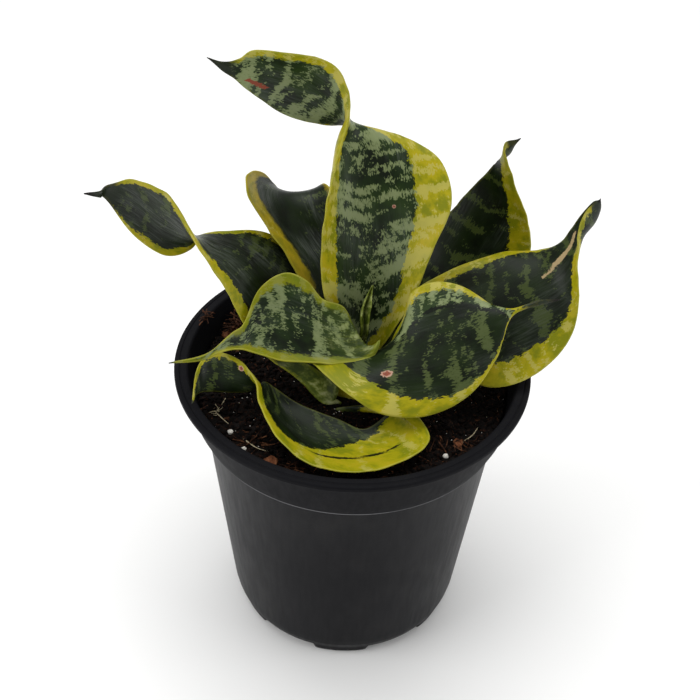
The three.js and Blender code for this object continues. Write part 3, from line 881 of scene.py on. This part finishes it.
class SoilSettings(bpy.types.PropertyGroup):
    """Colour and litter of the potting soil."""

    soil_colour: words("Soil", "Main colour of the soil as sRGB hex", "#0d0806")
    crumb_count: bpy.props.IntProperty(
        name="Crumbs", description="Loose crumbs on the soil", default=3600, min=0, max=8000
    )
    sliver_count: bpy.props.IntProperty(
        name="Slivers", description="Slivers of bark on the soil", default=1100, min=0, max=3000
    )
    # The specks are partly perlite and partly painted glints of damp soil.
    speck_and_glint_count: bpy.props.IntProperty(
        name="Specks", description="Small perlite specks on the soil", default=520, min=0, max=1000
    )
    seed: bpy.props.IntProperty(name="Seed", description="Lay of the litter", default=7)


class StageSettings(bpy.types.PropertyGroup):
    """Floor, light and camera."""

    floor_size: length("Floor", "Side of the floor", 6.0, 1.0, 20.0)
    key_power: bpy.props.FloatProperty(
        name="Key power", description="Large light overhead", default=42.0, unit="POWER"
    )
    side_power: bpy.props.FloatProperty(
        name="Side power", description="Soft box on the left", default=5.0, unit="POWER"
    )
    lens: bpy.props.FloatProperty(
        name="Lens", description="Focal length in mm", default=69.4, min=10, max=300
    )


# ---- Geometry Nodes litter ---------------------------------------------------
STREW_INPUTS = {
    "Geometry": "NodeSocketGeometry",
    "Density": "NodeSocketFloat",
    "Seed": "NodeSocketInt",
    "Smallest": "NodeSocketFloat",
    "Largest": "NodeSocketFloat",
    "Tilt": "NodeSocketFloat",
}


def strew_tree(name, piece_tree, material):
    """A tree that strews instances of a small shape over a ground mesh and makes them real."""
    tree = bpy.data.node_groups.new(name, "GeometryNodeTree")
    for title, kind in STREW_INPUTS.items():
        tree.interface.new_socket(title, in_out="INPUT", socket_type=kind)
    tree.interface.new_socket("Geometry", in_out="OUTPUT", socket_type="NodeSocketGeometry")
    given = add(tree, "NodeGroupInput").node.outputs
    seed, tilt = given["Seed"], given["Tilt"]
    points = add(
        tree,
        "GeometryNodeDistributePointsOnFaces",
        given["Geometry"],
        Density=given["Density"],
        Seed=seed,
    )
    shape = piece_tree(tree)
    size = add(tree, "FunctionNodeRandomValue", given["Smallest"], given["Largest"], Seed=seed)
    back = add(tree, "MULTIPLY", tilt, -1.0)
    low = add(tree, "ShaderNodeCombineXYZ", back, back, 0.0)
    high = add(tree, "ShaderNodeCombineXYZ", tilt, tilt, math.tau)
    turn = add(tree, "FunctionNodeRandomValue", low, high, data_type="FLOAT_VECTOR", Seed=seed)
    placed = add(
        tree, "GeometryNodeInstanceOnPoints", points, Instance=shape, Rotation=turn, Scale=size
    )
    real = add(tree, "GeometryNodeRealizeInstances", placed)
    finished = add(tree, "GeometryNodeSetMaterial", real, Material=material)
    add(tree, "NodeGroupOutput", finished)
    return tree


def scatter(name, ground, piece_tree, count, seed, material, sizes, tilt):
    """Strew small shapes over a ground mesh and return them as one plain mesh object."""
    tree = strew_tree(name + "_strew", piece_tree, material)
    holder = bpy.data.objects.new(name + "_ground", ground)
    bpy.context.scene.collection.objects.link(holder)
    modifier = holder.modifiers.new("strew", "NODES")
    modifier.node_group = tree
    values = {
        "Density": count / sum(polygon.area for polygon in ground.polygons),
        "Seed": seed,
        "Smallest": sizes[0] * MM,
        "Largest": sizes[1] * MM,
        "Tilt": tilt,
    }
    for item in tree.interface.items_tree:
        if item.in_out == "INPUT" and item.name in values:
            modifier[item.identifier] = values[item.name]
    mesh = applied(holder)
    bpy.data.objects.remove(holder)
    mesh.name = name
    made = bpy.data.objects.new(name, mesh)
    bpy.context.scene.collection.objects.link(made)
    return made


def applied(holder):
    """The plain mesh that an object's modifiers make of it. They are taken off it."""
    bpy.context.view_layer.update()
    evaluated = holder.evaluated_get(bpy.context.evaluated_depsgraph_get())
    mesh = bpy.data.meshes.new_from_object(evaluated)
    holder.modifiers.clear()
    return mesh


def stone_shape(squash, lumps):
    """A few-faced lumpy stone of unit length, for a crumb or a speck."""

    def build(tree):
        ball = add(tree, "GeometryNodeMeshIcoSphere", 0.5, 1)
        place = add(tree, "GeometryNodeInputPosition")
        rough = add(tree, "noise", place, lumps, out="Color")
        push = add(tree, "ShaderNodeVectorMath", rough, (0.5, 0.5, 0.5), operation="SUBTRACT")
        moved = add(tree, "GeometryNodeSetPosition", ball, Offset=push)
        return add(tree, "GeometryNodeTransform", moved, Scale=squash)

    return build


def sliver_shape(tree):
    """A thin split of bark or root fibre of unit length, slightly bowed."""
    rod = add(tree, "GeometryNodeMeshCylinder", 4, 4, Radius=0.06, Depth=1.0)
    place = add(tree, "GeometryNodeInputPosition")
    height = add(tree, "ShaderNodeSeparateXYZ", place, out="Z")
    bow = add(tree, "MULTIPLY", height, height)
    bow = add(tree, "MULTIPLY", bow, 0.5)
    offset = add(tree, "ShaderNodeCombineXYZ", bow, 0.0, 0.0)
    bent = add(tree, "GeometryNodeSetPosition", rod, Offset=offset)
    return add(tree, "GeometryNodeTransform", bent, Rotation=(0.0, math.pi / 2, 0.0))


def tubes(name, lines, material, sides=6):
    """Tapering closed tubes as one mesh, each line being its points in mm and its radius."""
    vertices, faces = [], []
    for points, radius in lines:
        add_tube(vertices, faces, points, radius, sides)
    return new_object(name, vertices, faces, material)


def add_tube(vertices, faces, points, radius, sides):
    """Add one tapering tube, closed at both ends, to the lists of vertices and faces."""
    first = len(vertices)
    places = [Vector(p) for p in points]
    path = []
    for i in range(len(places) - 1):
        a = places[i - 1] if i else places[0] * 2 - places[1]
        d = places[i + 2] if i + 2 < len(places) else places[-1] * 2 - places[-2]
        for k in range(6):
            t = k / 6
            here = [spline(a[n], places[i][n], places[i + 1][n], d[n], t) for n in range(3)]
            path.append(Vector(here))
    path.append(places[-1])
    for i, here in enumerate(path):
        ahead = (path[min(i + 1, len(path) - 1)] - path[max(i - 1, 0)]).normalized()
        side = ahead.cross(Vector((0, 0, 1))).normalized()
        up = side.cross(ahead)
        r = radius * (1 - 0.7 * i / (len(path) - 1))
        for k in range(sides):
            angle = 2 * math.pi * k / sides
            vertices.append((here + (side * math.cos(angle) + up * math.sin(angle)) * r) * MM)
    for i in range(len(path) - 1):
        for k in range(sides):
            a, b = first + i * sides + k, first + i * sides + (k + 1) % sides
            faces.append((a, b, b + sides, a + sides))
    last = first + (len(path) - 1) * sides
    faces.append(tuple(reversed(range(first, first + sides))))
    faces.append(tuple(range(last, last + sides)))


def tangle(count, centre, spread, reach, lengths, radii, rng):
    """Short bowed strands strewn about a place in mm, as lines for tubes(). Their middles keep
    within reach of the pot's axis."""
    lines = []
    for _ in range(count):
        here = Vector([rng.gauss(centre[k], spread[k]) for k in range(3)])
        here.xy *= min(1, reach / here.xy.length)
        turn, slope = rng.uniform(0, 2 * math.pi), rng.gauss(0, 0.25)
        way = Vector((math.cos(turn), math.sin(turn), slope)) * rng.uniform(*lengths) / 2
        bow = Vector([rng.gauss(0, 0.15) for _ in range(3)]) * way.length
        lines.append(([here - way, here + bow, here + way], rng.uniform(*radii)))
    return lines


# ---- Operators ---------------------------------------------------------------
class MakePot(bpy.types.Operator):
    """Build the nursery pot with its lip, collar, feet and drain holes"""

    bl_idname = "snake_plant.make_pot"
    bl_label = "Nursery pot"

    def execute(self, context):
        settings = context.scene.snake_pot
        height, recess = settings.height / MM, settings.recess / MM
        wall, rim = settings.wall / MM, settings.rim_radius / MM
        body_top = rim - 13.2
        heel = body_top * 0.83
        foot, foot_inside = heel - 3.5, heel - 12.5
        pad, base_plate = 9.9, recess + 2.4
        collar_top, collar_foot = height - 3, height - COLLAR_DROP / MM
        neck, inner_lip = rim - 10.5, rim - settings.lip_width / MM
        inner_neck, inner_heel = neck - wall - 1, heel - wall - 0.7
        heel_top = recess + 9
        outside = [
            (0, 0.02),
            (pad, 0.02),
            (pad, recess),
            (foot_inside, recess),
            (foot_inside + 0.2, 0.01),
            (foot - 1, 0),
            (foot, 1),
            (foot + 0.7, recess),
            (heel - 1, recess + 4),
            (heel, heel_top),
            (heel + (body_top - heel) * 0.5, heel_top + (collar_foot - heel_top) * 0.5),
            (body_top, collar_foot),
            (neck, collar_foot + 0.8),
            (neck + 2.6, collar_foot + 7),
            (rim - 2.4, collar_top - 1),
            (rim, collar_top + 0.4),
            (rim, height - 0.6),
            # A shallow groove runs round the flat of the lip.
            (rim - 0.8, height),
            (rim - 2.2, height),
            (rim - 2.5, height - 0.35),
            (rim - 2.9, height - 0.35),
            (rim - 3.2, height),
            (inner_lip + 0.8, height),
            (inner_lip, height - 0.7),
            (inner_neck + 3.4, SOIL_LEVEL / MM - 3),
            (inner_neck, collar_foot + 2),
            (inner_heel, recess + 10),
            (inner_heel - 3, base_plate),
            (0, base_plate),
        ]
        foot_turn = 360 / FOOT_COUNT

        def feet(r, z, angle):
            """Feet round the base, the first at the front, with notches between them."""
            if z > recess or r < foot_inside - 1:
                return r, z
            turn = math.degrees(angle + math.pi / 2) % foot_turn
            from_foot = min(turn, foot_turn - turn)
            lift = min(1, max(0, (from_foot - 13.4) / 1.2))
            return r, z + (recess - z) * lift * 0.98

        pot = turned("nursery_pot_moulded", rounded(outside), pot_plastic(settings), 240, feet)
        drain, ring = 4.5, foot_inside - 9.5
        bore = [(0, -2), (drain, -2), (drain, recess + 6), (0, recess + 6)]
        drills = []
        for k in range(FOOT_COUNT):
            angle = math.radians((k - 1) * foot_turn)
            drill = turned(f"drill_{k}", bore, pot.data.materials[0], 32)
            place = (ring * MM * math.cos(angle), ring * MM * math.sin(angle), 0)
            drill.data.transform(Matrix.Translation(place))
            cut = pot.modifiers.new("drain", "BOOLEAN")
            cut.object, cut.operation, cut.solver = drill, "DIFFERENCE", "EXACT"
            drills.append(drill)
        pot.data = applied(pot)
        for drill in drills:
            bpy.data.objects.remove(drill)
        pot.data.shade_smooth()
        pot.data.set_sharp_from_angle(angle=math.radians(35))
        settle(pot, "pot_plastic", "nursery_pot")
        return {"FINISHED"}


class MakeLeaves(bpy.types.Operator):
    """Build the ten leaves of the rosette"""

    bl_idname = "snake_plant.make_leaves"
    bl_label = "Leaves"

    def execute(self, context):
        settings = context.scene.snake_leaves
        skin = leaf_skin(settings)
        for number, (name, spec) in enumerate(BLADES.items()):
            settle(make_blade(name, spec, number, settings, skin), "leaf", name)
        return {"FINISHED"}


class MakeSoil(bpy.types.Operator):
    """Build the uneven body of potting soil"""

    bl_idname = "snake_plant.make_soil"
    bl_label = "Potting soil"

    def execute(self, context):
        settings = context.scene.snake_soil
        top = SOIL_LEVEL / MM
        low = SOIL_LOW[2] / MM + 0.2
        edge = (SOIL_HIGH[0] - SOIL_LOW[0]) / 2 / MM - 0.2
        rings = 78
        profile = [(0, low), (50.5, low), (53, low + 8), (edge - 4, top - 20), (edge - 0.8, top - 5)]
        profile += [(edge - (edge - 0.5) * i / rings, top) for i in range(rings + 1)]
        profile += [(0, top)]

        def relief(r, z, angle):
            if z < top - 1:
                return r, z
            return r, soil_height(r * math.cos(angle), r * math.sin(angle))

        soil = turned("potting_soil_body", profile, peat_mix(settings), 300, relief)
        hub = soil.data.vertices[-1]
        hub.co.z = soil_height(0, 0) * MM
        settle(soil, "potting_soil", "potting_soil")
        return {"FINISHED"}


def litter_ground():
    """The ring of soil that shows between the crown and the wall, as a mesh to strew litter on."""
    inner, outer, around, rings = 18, 71.5, 120, 24
    vertices, faces = [], []
    for i in range(rings + 1):
        r = inner + (outer - inner) * i / rings
        for k in range(around):
            angle = 2 * math.pi * k / around
            x, y = r * math.cos(angle), r * math.sin(angle)
            vertices.append((x * MM, y * MM, (soil_height(x, y) + 0.1) * MM))
    for i in range(rings):
        for k in range(around):
            a, b = i * around + k, i * around + (k + 1) % around
            faces.append((a, a + around, b + around, b))
    ground = bpy.data.meshes.new("litter_ground")
    ground.from_pydata(vertices, [], faces)
    ground.update()
    return ground


class MakeLitter(bpy.types.Operator):
    """Strew crumbs, slivers, specks and rootlets over the soil"""

    bl_idname = "snake_plant.make_litter"
    bl_label = "Soil litter"

    def execute(self, context):
        settings = context.scene.snake_soil
        ground = litter_ground()
        # Crumbs of peat are nearly black, split bark is red-brown with paler breaks, and dry
        # rootlets are straw-coloured. All are matt.
        crumb = mottled(
            "peat_crumb", [(0.35, "#020101"), (0.54, "#0b0604"), (0.68, "#2e190f")], 1.6, 0.9, 0.4
        )
        bark = mottled(
            "pine_bark_split", [(0.35, "#150c07"), (0.52, "#3d2315"), (0.68, "#7a5238")], 2.5, 0.8, 0.3
        )
        perlite = mottled("perlite_specks_and_glints", PERLITE_TONES, 0.9, 0.8, 0.3)
        root = mottled(
            "dry_rootlet", [(0.3, "#8f8266"), (0.6, "#c3b798"), (0.8, "#ddd4bb")], 1.0, 0.75, 0.1
        )
        seed = settings.seed
        stone, speck = stone_shape((1, 0.9, 0.7), 2.1), stone_shape((1, 0.85, 0.8), 1.4)
        heaps = [
            ("soil_crumbs", stone, settings.crumb_count, crumb, (1.0, 4.6), 0.6, "potting_soil"),
            ("soil_slivers", sliver_shape, settings.sliver_count, bark, (1.5, 8.0), 0.4, "potting_soil"),
            # The small white specks are partly perlite and partly painted glints: strewn thick, they
            # stand in for the bright glints of damp soil.
            ("soil_specks_and_glints", speck, settings.speck_and_glint_count, perlite, (0.25, 0.9), 0.6, "perlite"),
        ]
        for n, (name, shape, count, material, sizes, tilt, slot) in enumerate(heaps):
            settle(scatter(name, ground, shape, count, seed + n * 13, material, sizes, tilt), slot)
        rootlets = [
            [(-57, -13), (-59, -19), (-61, -25)],
            [(-61, -26), (-58, -30), (-54, -34)],
            [(-47, -43), (-41, -48), (-35, -49)],
            [(50, -38), (55, -34), (58, -28)],
            [(20, 50), (28, 54), (32, 57)],
            [(-40, 48), (-45, 44), (-51, 41)],
        ]
        lines = []
        for path in rootlets:
            # The middle of a rootlet stands a little off the soil.
            lifts = [0.7, 1.2, 0.7]
            lines.append(([(x, y, soil_height(x, y) + up) for (x, y), up in zip(path, lifts)], 0.38))
        settle(tubes("rootlets", lines, root), "root")
        rng = random.Random(seed + 71)
        top = SOIL_LEVEL / MM
        # Bark fibres are heaped against the wall at the back left and lie about the front.
        fibres = tangle(90, (-58, 37, top + 4.5), (3, 5, 2), 67, (4, 12), (0.2, 0.55), rng)
        fibres += tangle(12, (-71.5, 26, top + 13.6), (1, 2.5, 0.3), 77, (4, 8), (0.2, 0.4), rng)
        fibres += tangle(14, (-44, -45, top + 1.2), (6, 3, 0.3), 66, (4, 9), (0.2, 0.45), rng)
        fibres += tangle(16, (-23, -60, top + 1.2), (5, 2, 0.3), 66, (3, 8), (0.25, 0.5), rng)
        fibres += tangle(12, (46, -42, top + 1.2), (7, 5, 0.3), 66, (4, 9), (0.2, 0.45), rng)
        settle(tubes("bark_fibres", fibres, bark, 5), "potting_soil")
        pale = tangle(12, (-62, -25, top + 1.2), (1.5, 2.5, 0.4), 68, (1.5, 4), (0.15, 0.3), rng)
        settle(tubes("pale_fibres", pale, root, 5), "potting_soil")
        return {"FINISHED"}


class MakeChips(bpy.types.Operator):
    """Build the bark chips and perlite grains that lie in the soil"""

    bl_idname = "snake_plant.make_chips"
    bl_label = "Bark and perlite"

    def execute(self, context):
        # Bark chips are matt and red-brown, with paler bands where they split.
        bark = mottled(
            "pine_bark_chip",
            [(0.3, "#2f190e"), (0.5, "#6b3f27"), (0.65, "#99694a"), (0.8, "#b58a66")],
            2.2,
            0.8,
            0.5,
            stretch=(1, 0.4, 1),
        )
        perlite = mottled("perlite_grain", PERLITE_TONES, 0.9, 0.8, 0.3)
        for name in sorted(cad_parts):
            if not name.startswith(("bark_chip", "perlite_grain")):
                continue
            low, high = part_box(name)
            centre, size = (low + high) / 2, high - low
            chip = name.startswith("bark")
            shape = bmesh.new()
            bmesh.ops.create_icosphere(shape, subdivisions=3, radius=0.5)
            for vertex in shape.verts:
                here = vertex.co.copy()
                if chip:
                    # Bark splits flat, with stepped faces.
                    flat = min(abs(here.z), 0.3 + 0.08 * noise.noise(here * 3))
                    here.z = math.copysign(flat, here.z)
                key = here * 3 + centre * 900
                here *= 1 + 0.22 * noise.noise(key) + 0.1 * noise.noise(key * 3)
                vertex.co = Vector([here[k] * size[k] * 0.98 + centre[k] for k in range(3)])
            ball = bpy.data.meshes.new(name)
            shape.to_mesh(ball)
            shape.free()
            ball.materials.append(bark if chip else perlite)
            ball.shade_smooth()
            made = bpy.data.objects.new(name + "_rough", ball)
            bpy.context.scene.collection.objects.link(made)
            settle(made, "bark" if chip else "perlite", name)
        return {"FINISHED"}


class FinishRoots(bpy.types.Operator):
    """Give the buried rhizome and roots their own fibrous finish"""

    bl_idname = "snake_plant.finish_roots"
    bl_label = "Rhizome and roots"

    def execute(self, context):
        # A rhizome is orange-brown and roots are buff. Both are fibrous and matt.
        rhizome = mottled(
            "rhizome_skin", [(0.3, "#8a5f28"), (0.5, "#b98a45"), (0.7, "#d8b270")], 3.0, 0.6, 0.3
        )
        root = mottled(
            "root_skin", [(0.3, "#9c8d6c"), (0.5, "#c9bd9d"), (0.7, "#e0d8bf")], 1.6, 0.7, 0.2
        )
        for name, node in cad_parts.items():
            if name == "rhizome" or name.startswith("root_"):
                node.data.materials.clear()
                node.data.materials.append(rhizome if name == "rhizome" else root)
        return {"FINISHED"}


LIGHT_TARGET = Vector((0, 0, 0.12))  # the middle of the object
CAMERA_PLACE = (0.0, -0.4776, 0.5505)
CAMERA_PAN, CAMERA_DOWN, CAMERA_ROLL = 0.19, 39.81, 2.4  # degrees


class MakeStage(bpy.types.Operator):
    """Lay the pale floor, hang the soft lights and set the camera"""

    bl_idname = "snake_plant.make_stage"
    bl_label = "Stage"

    def execute(self, context):
        settings = context.scene.snake_stage
        scene = context.scene
        # Matt white paper, which gives a pale floor with soft shadows and no gloss.
        paper, tree = new_material("paper_sweep_white_matt")
        shader = add(tree, "ShaderNodeBsdfPrincipled", linear("#f4f4f3"), Roughness=0.9)
        add(tree, "ShaderNodeOutputMaterial", shader)
        half, sunk = settings.floor_size / 2, -0.2 * MM
        corners = [(-half, -half, sunk), (half, -half, sunk), (half, half, sunk), (-half, half, sunk)]
        new_object("floor", corners, [(0, 1, 2, 3)], paper)
        scene.world = bpy.data.worlds.new("white_room")
        scene.world.use_nodes = True
        tree = scene.world.node_tree
        tree.nodes.clear()
        glow = add(tree, "ShaderNodeBackground", (1.0, 1.0, 1.0, 1.0), 0.45)
        add(tree, "ShaderNodeOutputWorld", glow)
        lights = [
            ("overhead", (-0.1, 0.5, 2.2), 2.4, settings.key_power),
            ("left_box", (-0.85, -0.35, 0.45), 0.7, settings.side_power),
            ("right_box", (0.9, -0.2, 0.35), 0.6, settings.side_power * 0.6),
        ]
        for name, place, size, power in lights:
            lamp = bpy.data.lights.new(name, "AREA")
            lamp.shape, lamp.size, lamp.energy = "SQUARE", size, power
            held = bpy.data.objects.new(name, lamp)
            aim = (LIGHT_TARGET - Vector(place)).to_track_quat("-Z", "Y")
            held.matrix_world = Matrix.Translation(place) @ aim.to_matrix().to_4x4()
            scene.collection.objects.link(held)
        camera = bpy.data.cameras.new("camera")
        camera.lens, camera.sensor_width = settings.lens, 36.0
        camera.clip_start, camera.clip_end = 0.01, 50.0
        eye = bpy.data.objects.new("camera", camera)
        pan = Matrix.Rotation(math.radians(CAMERA_PAN), 4, "Z")
        tip_down = Matrix.Rotation(math.radians(90 - CAMERA_DOWN), 4, "X")
        roll = Matrix.Rotation(math.radians(CAMERA_ROLL), 4, "Z")
        eye.matrix_world = Matrix.Translation(CAMERA_PLACE) @ pan @ tip_down @ roll
        scene.collection.objects.link(eye)
        scene.camera = eye
        scene.view_settings.view_transform = "Standard"
        return {"FINISHED"}


OPERATORS = [MakeStage, MakePot, MakeSoil, MakeLeaves, MakeChips, MakeLitter, FinishRoots]
GROUPS = {
    "snake_pot": PotSettings,
    "snake_leaves": LeafSettings,
    "snake_soil": SoilSettings,
    "snake_stage": StageSettings,
}


class SnakePlantPanel(bpy.types.Panel):
    """Settings and steps of the snake plant"""

    bl_idname = "VIEW3D_PT_snake_plant"
    bl_label = "Potted Snake Plant"
    bl_space_type = "VIEW_3D"
    bl_region_type = "UI"
    bl_category = "Snake Plant"

    def draw(self, context):
        for key in GROUPS:
            box = self.layout.box()
            group = getattr(context.scene, key)
            for prop in group.bl_rna.properties:
                if prop.identifier not in ("rna_type", "name"):
                    box.prop(group, prop.identifier)
        for step in OPERATORS:
            self.layout.operator(step.bl_idname)


def register():
    for cls in (*GROUPS.values(), *OPERATORS, SnakePlantPanel):
        bpy.utils.register_class(cls)
    for key, group in GROUPS.items():
        setattr(bpy.types.Scene, key, bpy.props.PointerProperty(type=group))


def unregister():
    for key in GROUPS:
        delattr(bpy.types.Scene, key)
    for cls in reversed((*GROUPS.values(), *OPERATORS, SnakePlantPanel)):
        bpy.utils.unregister_class(cls)


def main():
    register()
    for step in OPERATORS:
        getattr(bpy.ops.snake_plant, step.bl_idname.split(".")[1])()


if __name__ == "__main__":
    main()
